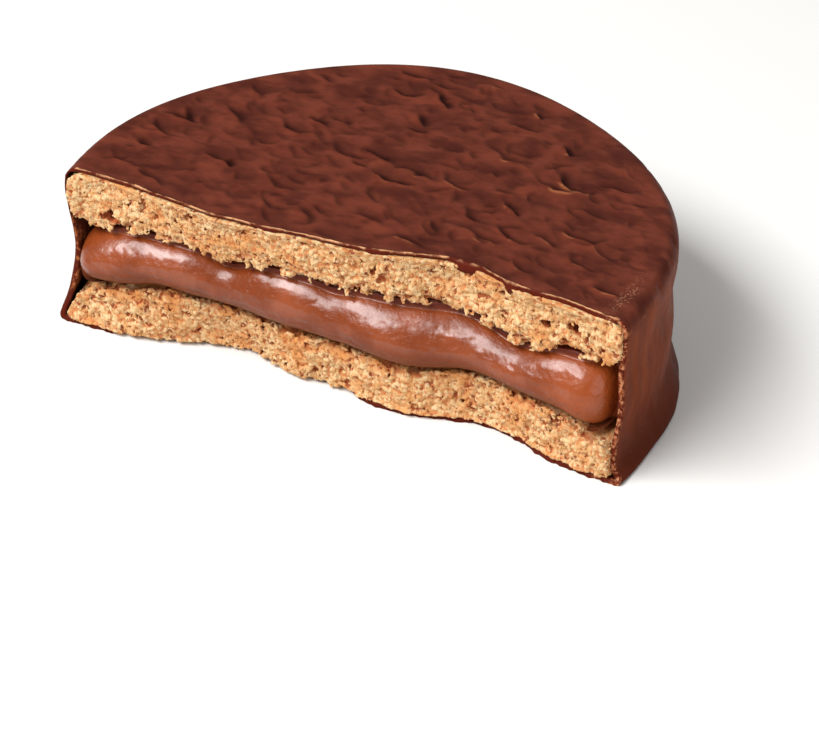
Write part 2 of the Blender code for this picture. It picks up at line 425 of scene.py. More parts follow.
def top_relief(x, y):
    """The top's height, and how much of each place is crease, lip and hollow."""
    wander_x = x + 0.45 * MM * noise_over(x, y, 1.8 * MM, 1.8 * MM, 3.1)
    wander_y = y + 0.40 * MM * noise_over(x, y, 1.6 * MM, 1.6 * MM, 9.7)
    height, crease, lip, hollow = (np.zeros(len(x)) for _ in range(4))
    for place_x, place_y, turn, half, bend, depth, reach in crease_table():
        close = np.nonzero((abs(x - place_x) < 6 * MM) & (abs(y - place_y) < 7 * MM))[0]
        across, back = wander_x[close] - place_x, wander_y[close] - place_y
        along = across * math.cos(turn) + back * math.sin(turn)
        behind = back * math.cos(turn) - across * math.sin(turn) - bend * along * along
        taper = np.exp(-((along / half) ** 4)) * depth / DEEPEST_CREASE
        sunk = 0.5 + 0.5 * np.tanh(behind / STEP_WIDTH)
        rise = (1 - sunk) * np.exp(np.minimum(behind, 0) / LIP_REACH)
        sink = sunk * np.exp(-np.maximum(behind, 0) / reach)
        height[close] += DEEPEST_CREASE * taper * (0.5 * rise - sink)
        crease[close] += taper * np.exp(-(((behind - 0.24 * MM) / (0.42 * MM)) ** 2))
        lip[close] += taper * rise
        hollow[close] += taper * sink
    height += 0.16 * MM * noise_over(x, y, 3.4 * MM, 2.4 * MM, 27.9)
    height += 0.08 * MM * noise_over(x, y, 1.5 * MM, 1.1 * MM, 40.2)
    above = RELIEF_ABOVE * np.tanh(height / RELIEF_ABOVE)
    below = RELIEF_BELOW * np.tanh(height / RELIEF_BELOW)
    return np.where(height > 0, above, below), crease, lip, hollow


def relief_share(x, y):
    """The creases run out towards the rounded rim, and are weaker in a band beside the cut."""
    share = []
    for a, b in zip(x, y):
        rim = smooth((wall_radius(angle_at(a, b), HEIGHT) - TOP_ROUND - math.hypot(a, b)) / (2.2 * MM))
        share.append(rim * (0.3 + 0.7 * smooth((b - cut_y(a, HEIGHT)) / (3.2 * MM))))
    return np.array(share)


# %% Sheets of the coating
COAT = 0.5 * MM
INSIDE_BOX = 0.02 * MM
COAT_COLUMNS = 370
COAT_TOP_ROWS = 158
COAT_WALL_ROWS = 24
ROUND_ROWS = 8
CRUMBLED_FROM, CRUMBLED_TO = -26.5 * MM, 3.0 * MM
WALL_RELIEF = 0.22 * MM
CREST_HEIGHT, CREST_WIDTH = 0.10 * MM, 0.22 * MM
THIN_FROM, THIN_FADE = 186.5, 4
THINNER_ABOVE, THICKER_BELOW = 0.44, 0.15

# Folds along the cut: the place, half width and drop in millimetres
FOLDS_AT_RIGHT = ((13.3, 1.1, 0.7), (14.6, 0.5, 0.35), (18.9, 0.5, 0.8), (19.7, 0.4, 0.5))
FOLDS = FOLDS_AT_RIGHT + ((-7.0, 0.8, 0.25), (4.5, 1.0, 0.3))


def crumbled(x):
    """1 where the biscuit broke away below and hides the coating's floor edge."""
    return smooth((x - CRUMBLED_FROM) / (2 * MM)) * smooth((CRUMBLED_TO - x) / (3 * MM))


def coat_front(x, z):
    """The broken edge of the chocolate: it wanders with the cut and is ragged close up."""
    slow = noise.noise(Vector((x, z, 0)) / (3 * MM))
    ragged = noise.noise(Vector((x, z, 5 * MM)) / (0.55 * MM))
    low = 1 - smooth(z / (1.2 * MM))
    flakes = noise.noise(Vector((x, z, 15 * MM)) / (1.3 * MM))
    hidden = crumbled(x)
    floor_edge = low * ((1.55 * hidden - 0.35) * MM + 0.30 * MM * flakes + 0.12 * MM * ragged)
    return cut_y(x, z) + 0.15 * MM * slow + 0.08 * MM * ragged + floor_edge


def wall_stations(inset, bottom, top, low_round, high_round):
    """Pairs of inset and height down the wall."""
    turn = [math.pi / 2 * step / ROUND_ROWS for step in range(ROUND_ROWS + 1)]
    upper = [(inset + high_round * (1 - math.sin(t)), top - high_round * (1 - math.cos(t))) for t in turn]
    lower = [(inset + low_round * (1 - math.cos(t)), bottom + low_round * (1 - math.sin(t))) for t in turn]
    start, end = top - high_round, bottom + low_round
    side = [(inset, start + (end - start) * step / COAT_WALL_ROWS) for step in range(1, COAT_WALL_ROWS)]
    return upper + side + lower


def coat_sheet(inset, bottom, top, low_round, high_round, shares):
    stations = wall_stations(inset + INSIDE_BOX, bottom, top, low_round, high_round)
    walls = [arc_row(d, z, coat_front, COAT_COLUMNS) for d, z in stations]
    over = rows_between(chord_row(walls[0], coat_front), walls[0], shares)
    under = rows_between(chord_row(walls[-1], coat_front), walls[-1], (0, 0.06, 0.2, 0.6))[::-1]
    return over, walls, under


def sheet_border(over, walls, under):
    """The sheet's open border: the top's cut edge, the right end, the floor's cut edge and the left end."""
    right_end, left_end = [row[-1] for row in walls], [row[0] for row in walls[::-1]]
    return over[0] + right_end + under[-1][::-1] + left_end + [over[1][0]]


# Nicks in the wall: the angle in degrees, then the height, half width and depth in millimetres
CHIPS = (
    (19, 18.9, 0.7, 0.45),
    (12, 18.7, 0.4, 0.2),
    (4, 18.5, 0.45, 0.25),
    (-3, 18.3, 0.35, 0.2),
    (46, 18.9, 0.4, 0.2),
    (73, 18.8, 0.6, 0.3),
    (109, 18.9, 0.4, 0.25),
    (131, 18.6, 0.5, 0.2),
    (158, 18.8, 0.45, 0.3),
    (36, 1.0, 0.8, 0.3),
    (88, 0.8, 0.6, 0.25),
    (121, 1.1, 0.7, 0.3),
    (167, 0.9, 0.6, 0.25),
    (64, 9.0, 0.5, 0.15),
    (140, 12.0, 0.6, 0.15),
)


def chipped(p):
    """How deep the nicks in the wall's edges are here, and how near their middle this is."""
    depth = near = 0.0
    for degrees, height, half, deep in CHIPS:
        angle = math.radians(degrees)
        middle = Vector((math.cos(angle), math.sin(angle))) * wall_radius(angle, height * MM)
        away = math.hypot(p.x - middle.x, p.y - middle.y, p.z - height * MM)
        if away < 3 * half * MM:
            share = bump(away * (1 + 0.5 * noise.noise(p / (0.5 * MM))), half * MM)
            depth, near = depth + deep * MM * share, max(near, share)
    return depth, near


def wall_dip(p):
    """How far the wall dips in: slow waves, soft runs that go down it, fine ripples and chips."""
    angle = angle_at(p.x, p.y)
    waves = noise.noise(Vector((5 * angle, p.z / (7 * MM), 2.0)))
    runs = noise.noise(Vector((16 * angle, p.z / (9 * MM), 6.0)))
    ripples = noise.noise(Vector((30 * angle, p.z / (1.1 * MM), 11.0)))
    relief = 0.5 + 0.5 * (0.45 * waves + 0.4 * runs + 0.15 * ripples)
    return WALL_RELIEF * relief + chipped(p)[0]


def shape_wall(rows):
    """Moves the outer wall in by its relief, less towards the cut, where the broken edge has its own."""
    for row in rows:
        for i, p in enumerate(row):
            near_end = smooth(min(i, len(row) - 1 - i) / (0.02 * len(row)))
            over_round = smooth((HEIGHT - p.z) / (0.6 * MM)) * smooth(p.z / (0.6 * MM))
            inwards = wall_dip(p) * near_end * over_round
            reach = math.hypot(p.x, p.y)
            p.x -= p.x / reach * inwards
            p.y -= p.y / reach * inwards


def shape_top(rows):
    points = [p for row in rows for p in row]
    x, y = np.array([p.x for p in points]), np.array([p.y for p in points])
    height, share = top_relief(x, y)[0], relief_share(x, y)
    for p, high, part in zip(points, height, share):
        beside_cut = (p.y - coat_front(p.x, HEIGHT)) / CREST_WIDTH
        crest = CREST_HEIGHT * math.exp(-beside_cut * beside_cut) * min(1.0, 3 * part)
        p.z += high * part + crest


def thin_left(rows):
    """In the last degrees at the left, the coating is thinner beside the upper biscuit and thicker below."""
    for row in rows:
        for p in row:
            share = smooth((math.degrees(angle_at(p.x, p.y)) - THIN_FROM) / THIN_FADE)
            outwards = (THINNER_ABOVE * smooth((p.z - 8 * MM) / (5 * MM)) - THICKER_BELOW) * MM * share
            reach = math.hypot(p.x, p.y)
            p.x += p.x / reach * outwards
            p.y += p.y / reach * outwards


def fold(x):
    """How far a fold of chocolate was pulled down over the broken edge."""
    uneven = x + 0.5 * MM * noise.noise(Vector((x / (0.8 * MM), 3.0, 8.0)))
    return sum(drop * MM * bump((uneven - place * MM) ** 2, (half * MM) ** 2) for place, half, drop in FOLDS)


def hang_folds(row):
    for p in row:
        wavy = 0.10 * MM * noise.noise(Vector((p.x / (0.9 * MM), 7.0, 1.0)))
        p.z += (0.12 - 0.30 * smooth((p.x - 11 * MM) / (3 * MM))) * MM - fold(p.x) + wavy


def build_coating():
    even = [step / COAT_TOP_ROWS for step in range(COAT_TOP_ROWS)]
    outer = coat_sheet(0, 0, HEIGHT, 0.8 * MM, TOP_ROUND, [0, 0.0012, 0.003] + even[1:])
    inner = coat_sheet(COAT, COAT, HEIGHT - COAT, 0.2 * MM, 0.7 * MM, (0, 0.05, 0.15, 0.35, 0.6, 0.8))
    shape_top(outer[0])
    shape_wall(outer[1])
    thin_left(inner[1])
    hang_folds(inner[0][0])
    faces = sheet_faces(outer[0] + outer[1] + outer[2], flip=True)
    faces += sheet_faces(inner[0] + inner[1] + inner[2])
    first, last = sheet_border(*outer), sheet_border(*inner)
    broken = [first]
    for share in (0.2, 0.5, 0.8):
        middle = []
        for a, b in zip(first, last):
            p = a.lerp(b, share)
            rough = noise.noise(p / (0.45 * MM)) + 0.6 * noise.noise(p / (0.2 * MM))
            folded = 0.4 * fold(p.x) if p.z > 16 * MM else 0.0
            p.y -= ((0.10 + 0.10 * rough) * MM + folded) * math.sin(math.pi * share)
            middle.append(p)
        broken.append(middle)
    broken.append(last)
    for one, two in zip(broken, broken[1:]):
        for i in range(len(one)):
            j = (i + 1) % len(one)
            faces.append((one[i], one[j], two[j], two[i]))
    return make_piece("chocolate_coat", faces)


def mark_coat(mesh):
    """Stores where the top creases, where the broken edge is, where its painted highlight line runs and where
    the rim is scuffed.
    """
    x, y, z = places_of(mesh)
    share = relief_share(x, y) * (z > HEIGHT - 0.42 * MM)
    for name, values in zip(("crease", "lip", "hollow"), top_relief(x, y)[1:]):
        store(mesh, name, values * share)
    front = np.array([coat_front(a, c) for a, c in zip(x, z)])
    store(mesh, "edge", np.clip(1 - (y - front) / (0.12 * MM), 0, 1))
    wide = 0.07 * MM + 0.05 * MM * noise_over(x, z, 1.6 * MM, 3 * MM, 5.5)
    store(mesh, "rim_highlight_line", np.clip(1.3 - abs(y - front) / wide, 0, 1) * (z > HEIGHT - 0.03 * MM))
    angle, reach = np.degrees(np.arctan2(y, x)), np.hypot(x, y)
    wall = np.array([wall_radius(angle_at(a, b), c) for a, b, c in zip(x, y, z)])
    beside_gap = (x < 0) & (y - front < 6 * MM) & (abs(z - 10 * MM) < 6 * MM)
    store(mesh, "inside", beside_gap & (wall - reach > 0.15 * MM))
    scuffed = np.exp(-(((reach - 30.4 * MM) / (0.6 * MM)) ** 2)) * np.exp(-(((angle + 4) / 6.0) ** 2))
    store(mesh, "scuff", scuffed * (z > 15 * MM))
    store(mesh, "chip", [chipped(Vector(p))[1] for p in zip(x, y, z)])


coat = build_coating()
mark_coat(coat.data)

# %% [markdown]
# ## Chocolate as a material
#
# Set chocolate is satin: dark, warm, and with little shine of its own. Its colour isn't even. Hollows are
# painted darker and cooler, as painted shade and a painted reflection of the pale room, creases are painted
# nearly black as painted shade, and lips are painted warmer and lighter as painted light, some with painted
# glints. The broken edge shows paler, duller chocolate with a painted highlight line along its crest, and the
# nicks are painted dark as painted shade. The wall is painted darker towards the floor as painted shade, and
# lighter and warmer beside the cut's right end as painted light. The marks that we stored on the mesh say
# where, and fine noise breaks them up.

# %% Chocolate
def chocolate_material():
    material, tree, shader = new_material("chocolate")
    place = add(tree, "ShaderNodeTexCoord", None, None, "Object")
    x, y, z = split(tree, place)
    cloud = noise_at(tree, stretched(tree, place, 20, (0.8, 1.2, 1)), 300, 3, 0.55)
    grain = noise_at(tree, place, 2600, 2, 0.6)
    speck = noise_at(tree, place, 3600, 1, 0.5)
    warm = mix(cloud.step(0.32, 0.68), (76, 34, 25), (105, 50, 36))
    runs = noise_at(tree, stretched(tree, place, 0, (1, 1, 0.25)), 420, 4, 0.6)
    # Painted light and shade on the wall: beside the cut's right end it is painted lighter and warmer, and
    # everywhere it is painted darker towards the floor.
    beside_cut = x.step(12.0, 28.0) * (1 - y.step(8.0, 26.0))
    wall_shaded_low = mix(z.step(0.5, 10.0), (72, 32, 22), (94, 45, 31))
    lit_and_shaded_wall = mix(beside_cut, wall_shaded_low, mix(z.step(0.5, 10.0), (88, 37, 21), (128, 57, 25)))
    side_wall = mix(runs.step(0.35, 0.7) * 0.6, lit_and_shaded_wall, (80, 35, 22))
    wall = mix((z + (cloud - 0.5) * 2.0).step(16.6, 18.9), side_wall, warm)
    dark = noise_at(tree, stretched(tree, place, -30, (0.7, 1.3, 1)), 340, 2).step(0.54, 0.68)
    patched = mix(dark * z.step(18.4, 18.9) * 0.6, wall, (64, 27, 21))
    # Painted shade: the hollows behind the crescents are painted darker and cooler, with a painted reflection
    # of the pale room.
    hollow = mix(attribute(tree, "hollow"), patched, (54, 24, 19))
    # Painted light: the raised lips are painted warmer and lighter.
    lip = mix(attribute(tree, "lip") * 0.9, hollow, (122, 56, 38))
    glint = attribute(tree, "lip").step(0.22, 0.6) * noise_at(tree, place, 420, 2).step(0.48, 0.58)
    glinting = mix(glint * x.step(-6.0, 12.0) * 0.7, lip, (170, 104, 66))
    # Painted shade: the creases are painted nearly black.
    crease = mix(attribute(tree, "crease") * 1.1, glinting, (38, 12, 8))
    edge = mix(attribute(tree, "edge"), crease, (82, 27, 15))
    side = attribute(tree, "edge") * x.step(29.5, 30.5) * noise_at(tree, place, 2200, 3, 0.65).step(0.44, 0.6)
    dust = mix(grain.step(0.35, 0.65), (146, 72, 36), (210, 144, 104))
    crumby = mix(side * 0.75, edge, dust)
    stuck = attribute(tree, "inside") * noise_at(tree, place, 1300, 3, 0.6).step(0.48, 0.6)
    gap = mix(stuck * 0.8, crumby, (166, 98, 56))
    # Painted highlight: a thin pale line along the crest of the broken edge.
    crest = attribute(tree, "rim_highlight_line") * noise_at(tree, place, 700, 2).step(0.34, 0.56)
    highlighted_rim = mix(crest * 0.85, gap, (216, 162, 116))
    dusted = mix(attribute(tree, "scuff") * speck.step(0.52, 0.64) * 0.7, highlighted_rim, (150, 108, 80))
    on_line = 1 - (z - 17.9).math("ABSOLUTE").step(0.05, 0.35)
    rubbed = on_line * noise_at(tree, place, 900, 3, 0.7).step(0.5, 0.62)
    worn = mix(rubbed * x.step(24.0, 29.0) * (1 - y.step(-4.0, 14.0)) * 0.7, dusted, (152, 80, 40))
    # Painted shade: the nicks are painted nearly black.
    nicked = mix(attribute(tree, "chip").step(0.35, 0.8) * 0.75, worn, (56, 18, 11))
    flecks = z.step(1.0, 3.0) * (1 - z.step(17, 19)) * speck.step(0.68, 0.74)
    flecked = mix(flecks * 0.35, nicked, (160, 96, 56))
    feed(shader, Base_Color=flecked)
    feed(shader, Roughness=0.40 + 0.16 * (1 - cloud.step(0.3, 0.7)) + attribute(tree, "edge") * -0.12)
    feed(shader, Normal=bumps(tree, grain * 0.4 + cloud * 0.6, 0.00008, 0.5), Specular_IOR_Level=0.03)
    return material


coat.data.materials.append(chocolate_material())
print("chocolate:", len(coat.active_material.node_tree.nodes), "nodes")

# %% [markdown]
# ## The broken crumb
#
# A short biscuit doesn't cut, it crumbles: granules about half a millimetre across stand out, and cracks and
# pores run in behind them, with overhangs that no height map can hold. So the front of each biscuit becomes a
# small volume. A Volume Cube gives every cell its depth inside the biscuit, Voronoi and noise textures carve
# granules and pores out of it near the cut, and Volume to Mesh turns the result into a surface. What the
# carving cut loose is removed, and the part behind, which the chocolate hides, stays a plain solid.

# %% Where granules lie
GRANULES = (0.8, 0.42)
BACK_OF_SLAB = -0.9


def granule_space(tree, place):
    """Coordinates bent by noise, so that granules aren't round. The carving and the colours share them."""
    bend = noise_at(tree, place, 1500, 1, 0.5, 1)
    settings = {"operation": "MULTIPLY_ADD"}
    return add(tree, "ShaderNodeVectorMath", settings, {0: bend, 1: (0.0005,) * 3, 2: place})


def granules(tree, space, size, output="Distance"):
    """Distance to the nearest granule's middle, in granule sizes."""
    return add(tree, "ShaderNodeTexVoronoi", None, {"Vector": space, "Scale": 1 / (size * MM)}, output)


def pores_at(tree, space):
    """1 where a pore opens, in the mesh and in the colours."""
    return noise_at(tree, space, 1150, 2, 0.55).step(0.60, 0.66)


def dents_wire(x, table):
    total = x * 0.0
    for place, half, depth in table:
        away = (x - place) / half
        total = total + depth * (away * away * -1.0).math("EXPONENT")
    return total


def behind_cut(x, y, z):
    """Millimetres behind the cut, for a tree: the same formula as cut_y."""
    share = (z / (HEIGHT / MM)).most(0.0).least(1.0)
    cut = share * dents_wire(x, CUT_DENTS_AT_TOP) + (1 - share) * dents_wire(x, CUT_DENTS_AT_BASE)
    return y - (cut - CUT_DISTANCE / MM)


# %% The start and the end of a Geometry Nodes tree
def start_tree(name, inputs, output):
    """A tree with these inputs, by name and kind, ready to stand in sums, and one output."""
    tree = bpy.data.node_groups.new(name, "GeometryNodeTree")
    for socket, kind in inputs.items():
        tree.interface.new_socket(socket, in_out="INPUT", socket_type="NodeSocket" + kind)
    tree.interface.new_socket(output, in_out="OUTPUT", socket_type="NodeSocketGeometry")
    group = tree.nodes.new("NodeGroupInput")
    return tree, {socket.name: Wire(tree, socket) for socket in group.outputs if socket.name}


def end_tree(tree, geometry, material):
    real = add(tree, "GeometryNodeRealizeInstances", None, {"Geometry": geometry})
    finished = add(tree, "GeometryNodeSetMaterial", None, {"Geometry": real, "Material": material})
    tree.links.new(finished.socket, tree.nodes.new("NodeGroupOutput").inputs[0])


# %% Geometry Nodes tree of the crumb
# Holes in the cut face: the place, height and half sizes in millimetres
HOLES = ((23.4, 15.9, 0.9, 0.5), (26.2, 16.2, 0.8, 0.55), (25.3, 14.3, 0.4, 0.4), (-26.6, 14.4, 1.3, 0.45))


def crumb_tree():
    inputs = {
        "Biscuit": "Geometry",
        "Low corner": "Vector",
        "High corner": "Vector",
        **{"Cells " + axis: "Int" for axis in "XYZ"},
        "Material": "Material",
    }
    tree, given = start_tree("BrokenCrumb", inputs, "Crumb")
    place = add(tree, "GeometryNodeInputPosition")
    biscuit = given["Biscuit"]
    near = add(tree, "GeometryNodeProximity", {"target_element": "FACES"}, {"Geometry": biscuit}, "Distance")
    upwards = {"Target Geometry": biscuit, "Ray Direction": (0.0, 0.0, 1.0), "Ray Length": 0.2}
    hit = add(tree, "GeometryNodeRaycast", None, upwards, "Is Hit")
    facing = Wire(tree, hit.socket.node.outputs["Hit Normal"])
    up = add(tree, "ShaderNodeSeparateXYZ", None, {0: facing}, 2)
    # Millimetres to the biscuit's surface, positive inside it
    depth = near * ((hit * up.math("GREATER_THAN", 0.0)) * 2.0 - 1.0) * 1000.0
    x, y, z = split(tree, place)
    away = behind_cut(x, y, z)
    near_cut = 1 - away.step(0.6, 2.4)
    crumbled_from, crumbled_to = CRUMBLED_FROM / MM, CRUMBLED_TO / MM
    crumbly = x.step(crumbled_from, crumbled_from + 2) * (1 - x.step(crumbled_to - 3, crumbled_to))
    coat_side = (z.step(17.9, 18.9) + (1 - z.step(0.6, 1.2)) * (1 - crumbly)).least(1.0)
    end_side = (x * x + y * y).math("SQRT").step(30.6, 31.4)
    held = 1 - 0.75 * coat_side.most(end_side)
    space = granule_space(tree, place)
    coarse = granules(tree, space, GRANULES[0])
    fine = granules(tree, space, GRANULES[1])
    lumps = noise_at(tree, place, 420, 1)
    cracks = noise_at(tree, space, 480, 2, 0.6).step(0.635, 0.69)
    pores = pores_at(tree, space)
    upper, lower = 13.6 - dents_wire(x, UPPER_EDGE_DROPS), 6.0 + dents_wire(x, LOWER_EDGE_RISES)
    caramel_side = 1 - (z - upper).most(lower - z).step(-0.1, 1.2)
    clumps = caramel_side * noise_at(tree, place, 640, 2, 0.6).step(0.44, 0.56)
    granular = coarse * coarse * 0.36 + fine * fine * 0.34 + lumps * 0.5
    carve = granular + pores * 0.35 + cracks * 0.8 + clumps * 0.8
    stray_x, stray_z = ((noise_at(tree, place, scale, 2) - 0.5) * 2.4 for scale in (600, 720))
    for hole_x, hole_z, half_x, half_z in HOLES:
        off_x, off_z = (x + stray_x - hole_x) / half_x, (z + stray_z - hole_z) / half_z
        hole = 1 - (off_x * off_x + off_z * off_z).math("SQRT").step(0.5, 1.1)
        carve = carve + hole * 1.6
    field = (depth - near_cut * held * carve).least(BACK_OF_SLAB - y).least(z - 0.03)
    cube = {
        "Density": field,
        "Background": -1.0,
        "Min": given["Low corner"],
        "Max": given["High corner"],
        **{"Resolution " + axis: given["Cells " + axis] for axis in "XYZ"},
    }
    volume = add(tree, "GeometryNodeVolumeCube", None, cube)
    skin = {"Volume": volume, "Threshold": 0.0, "Adaptivity": 0.05}
    surface = add(tree, "GeometryNodeVolumeToMesh", None, skin)
    marked = {"Geometry": surface, "Name": "pit", "Value": depth}
    stored = add(tree, "GeometryNodeStoreNamedAttribute", {"data_type": "FLOAT"}, marked)
    shaded = add(tree, "GeometryNodeSetShadeSmooth", None, {"Geometry": stored})
    end_tree(tree, shaded, given["Material"])
    return tree


# %% A fuller copy of the biscuit to carve from
END_ZONE = 24 * MM
TOP_GROWTH, FLOOR_GROWTH, FRONT_GROWTH = 0.44 * MM, 0.36, 0.45 * MM


def side_growth(node, x, behind):
    """How far the biscuit grows out towards the wall, most near the upper biscuit's ends."""
    if x < -END_ZONE:
        return (0.0 if node == "lower_biscuit" else 0.52 if behind < 0.8 * MM else 0.28) * MM
    return (0.5 if node == "upper_biscuit" and x > END_ZONE else 0.34) * MM


def fuller_copy(node):
    """A joined copy of the biscuit, grown to where its highest granules reach: carving only takes away."""
    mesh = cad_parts[node].data.copy()
    bm = to_bmesh(mesh, merge=True)
    for v in bm.verts:
        x, y, z = v.co
        reach = math.hypot(x, y)
        behind = y - cut_y(x, z)
        if wall_radius(angle_at(x, y), z) - reach < 1.0 * MM:
            grown = side_growth(node, x, behind)
            v.co.x += x / reach * grown
            v.co.y += y / reach * grown
        if z > 18.3 * MM:
            v.co.z += TOP_GROWTH
        elif z < 1.1 * MM:
            v.co.z -= (FLOOR_GROWTH + 0.40 * crumbled(x) * (behind < 1.0 * MM)) * MM
        elif node == "upper_biscuit" and z < upper_face(x) + 0.7 * MM:
            v.co.z -= (0.7 if behind < 1.2 * MM else 0.2) * MM
        elif node == "lower_biscuit" and z > lower_face(x) - 0.7 * MM:
            v.co.z += (0.5 if behind < 1.2 * MM else 0.2) * MM
        if behind < 0.9 * MM:
            v.co.y -= FRONT_GROWTH
    from_bmesh(bm, mesh)
    return put(node + "_copy", mesh)


def plain_back(node):
    """The hidden part of the biscuit, closed where the carved slab begins."""
    bm = to_bmesh(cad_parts[node].data, merge=True)
    everything = bm.verts[:] + bm.edges[:] + bm.faces[:]
    plane = (0, (BACK_OF_SLAB - 0.2) * MM, 0)
    cut = bmesh.ops.bisect_plane(bm, geom=everything, plane_co=plane, plane_no=(0, -1, 0), clear_outer=True)
    rim = [item for item in cut["geom_cut"] if isinstance(item, bmesh.types.BMEdge)]
    bmesh.ops.contextual_create(bm, geom=rim)
    bmesh.ops.recalc_face_normals(bm, faces=bm.faces)
    mesh = bpy.data.meshes.new(node + "_back")
    from_bmesh(bm, mesh)
    return mesh


def run_tree(carrier, tree, values, name):
    """Runs a Geometry Nodes tree on an object and keeps the result as a plain mesh."""
    modifier = carrier.modifiers.new(tree.name, "NODES")
    modifier.node_group = tree
    for item in tree.interface.items_tree:
        if item.item_type == "SOCKET" and item.in_out == "INPUT" and item.name in values:
            modifier[item.identifier] = values[item.name]
    graph = bpy.context.evaluated_depsgraph_get()
    made = bpy.data.meshes.new_from_object(carrier.evaluated_get(graph), depsgraph=graph)
    made.name = name
    carrier.modifiers.remove(modifier)
    bpy.data.objects.remove(carrier)
    return put(name, made)


def keep_largest(piece):
    """Removes what the carving cut loose, crumbs and bubbles alike: only the largest connected part stays."""
    bm = to_bmesh(piece.data)
    left, largest, count = set(bm.verts), set(), 0
    while left:
        first = left.pop()
        island, front = {first}, [first]
        while front:
            for edge in front.pop().link_edges:
                for v in edge.verts:
                    if v in left:
                        left.remove(v)
                        island.add(v)
                        front.append(v)
        largest = max(largest, island, key=len)
        count += 1
    bmesh.ops.delete(bm, geom=[v for v in bm.verts if v not in largest], context="VERTS")
    from_bmesh(bm, piece.data)
    print("removed", count - 1, "loose bits")


def join_mesh(piece, more):
    bm = to_bmesh(piece.data)
    bm.from_mesh(more)
    from_bmesh(bm, piece.data)


# %% [markdown]
# ## Crumb as a material
#
# Every granule is pale on its crown. Where it meets the next, and in the pores behind, it is browner and
# darker:
# partly the crumb's own baked colour, partly painted shade, which deepens with the depth below the biscuit's
# face that the tree stored. The material reads the same granules that carved the mesh, so colour and relief
# agree. Near the caramel the crumb has soaked up fat and turned orange.

# %% Biscuit crumb
def crumb_material():
    material, tree, shader = new_material("biscuit_crumb")
    place = add(tree, "ShaderNodeTexCoord", None, None, "Object")
    z = split(tree, place)[2]
    pit = attribute(tree, "pit")
    space = granule_space(tree, place)
    fine = granules(tree, space, GRANULES[1])
    tint = add(tree, "ShaderNodeSeparateColor", None, {0: granules(tree, space, GRANULES[1], "Color")})
    grain = noise_at(tree, place, 3600, 2, 0.6)
    patch = noise_at(tree, place, 330, 2, 0.5)
    crown = mix(tint.step(0.1, 0.9), (191, 145, 95), (212, 181, 136))
    toasted = mix(patch.step(0.48, 0.72), crown, (198, 138, 82))
    under_caramel = z.step(4.0, 5.6) * (1 - z.step(8.0, 9.0)) * patch.step(0.36, 0.56)
    soaked = mix(under_caramel * 0.6, toasted, (198, 126, 64))
    # Partly the crumb's own colour and partly painted shade: browner in the seams between granules, darker in
    # the pores and darkest deep in the pits.
    seams = mix((fine + (grain - 0.5) * 0.6).step(0.5, 0.8) * 0.9, soaked, (186, 114, 66))
    browned_and_shaded = mix(pit.step(0.6, 1.05), seams, (164, 86, 46))
    porous = mix(pores_at(tree, space) * 0.85, browned_and_shaded, (138, 56, 26))
    deep = mix(pit.step(1.1, 1.6), porous, (90, 30, 13))
    feed(shader, Base_Color=deep, Roughness=0.85, Specular_IOR_Level=0.2)
    feed(shader, Normal=bumps(tree, grain, 0.00010, 0.7))
    return material


# %% Crumb of both biscuits
CELL = 0.13 * MM
ROOM_FOR_GRANULES = Vector((1.0, 1.2, 0.9)) * MM
crumb_finish = crumb_material()
crumb_nodes = crumb_tree()
crumbs = []
for node in ("lower_biscuit", "upper_biscuit"):
    low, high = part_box(node)
    low, high = low - ROOM_FOR_GRANULES, high + ROOM_FOR_GRANULES
    high.y = (BACK_OF_SLAB + 0.4) * MM
    cell_counts = [max(4, round((high[axis] - low[axis]) / CELL)) for axis in range(3)]
    values = {
        "Low corner": low,
        "High corner": high,
        **{"Cells " + axis: count for axis, count in zip("XYZ", cell_counts)},
        "Material": crumb_finish,
    }
    piece = run_tree(fuller_copy(node), crumb_nodes, values, node.replace("biscuit", "crumb"))
    keep_largest(piece)
    join_mesh(piece, plain_back(node))
    piece.data.calc_loop_triangles()
    crumbs.append(piece)
    print(piece.name, "has", len(piece.data.loop_triangles), "triangles")
lower_crumb, upper_crumb = crumbs

# %% [markdown]
# ## The caramel filling
#
# The caramel is thick, so the knife squeezed it out of the cut in one soft roll. It is fullest a little below
# its middle, its ends are round, and its skin is stretched into faint wrinkles along the cut. It's built from
# rows like the coating, with the wrinkles as real relief. Its gloss is a clear coat along the bulge, which
# the wrinkles and a fine bump break up into streaks.

# %% Caramel roll
ROLL_COLUMNS = 460
ROLL_LEVELS = 70
ROLL_LEFT, ROLL_RIGHT = 31.1 * MM, 31.0 * MM
ROLL_END_ROUND = 3.6 * MM
ROLL_THICKNESS = 7.0 * MM
ROLL_GAP = 0.3 * MM


def drawn_in(share):
    """How much shorter the roll is towards its upper and lower side, because its ends are round."""
    return 0.4 * ROLL_THICKNESS * (1 - math.sqrt(max(0.0, 1 - (2 * share - 1) ** 2)))


